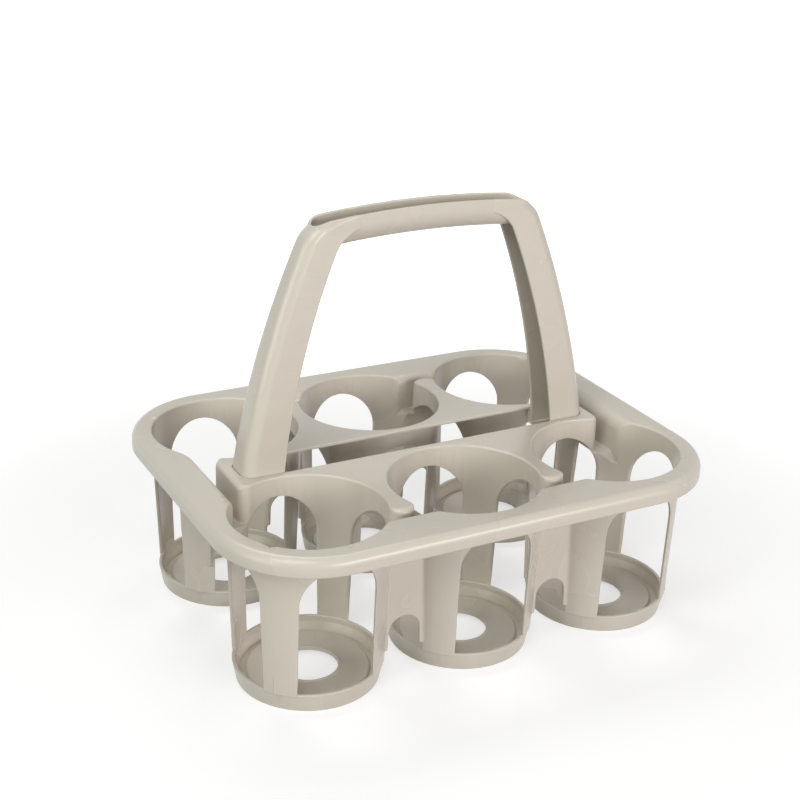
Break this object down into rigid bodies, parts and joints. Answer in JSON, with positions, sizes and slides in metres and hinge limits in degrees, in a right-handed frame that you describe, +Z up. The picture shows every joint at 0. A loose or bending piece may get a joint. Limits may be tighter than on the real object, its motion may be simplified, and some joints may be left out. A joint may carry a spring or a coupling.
{
  "type": "six pack carrier",
  "caption": "Moulded plastic carrier: a tray of open, arch-windowed cups in two rows under one rim, with a tall clip-in carrying handle.",
  "frame": {"origin": "on the table under the middle of the carrier", "axes": "+Z up, +X along the rows of cups to the right, +Y from the front row to the rear row"},
  "size_m": [0.353, 0.2734, 0.2855],
  "materials": {
    "basket_plastic": "semi-gloss injection-moulded polypropylene, warm grey",
    "handle_plastic": "semi-gloss injection-moulded polypropylene, warm grey"
  },
  "bodies": {
    "root": {"rim": "basket_plastic", "front_deck": "basket_plastic", "rear_deck": "basket_plastic", "left_block": "basket_plastic", "right_block": "basket_plastic", "front_left_cup": "basket_plastic", "front_middle_cup": "basket_plastic", "front_right_cup": "basket_plastic", "rear_left_cup": "basket_plastic", "rear_middle_cup": "basket_plastic", "rear_right_cup": "basket_plastic", "front_left_tray": "basket_plastic", "front_middle_tray": "basket_plastic", "front_right_tray": "basket_plastic", "rear_left_tray": "basket_plastic", "rear_middle_tray": "basket_plastic", "rear_right_tray": "basket_plastic", "front_left_web": "basket_plastic", "front_right_web": "basket_plastic", "rear_left_web": "basket_plastic", "rear_right_web": "basket_plastic", "left_web": "basket_plastic", "right_web": "basket_plastic", "handle": "handle_plastic"}
  },
  "joints": []
}
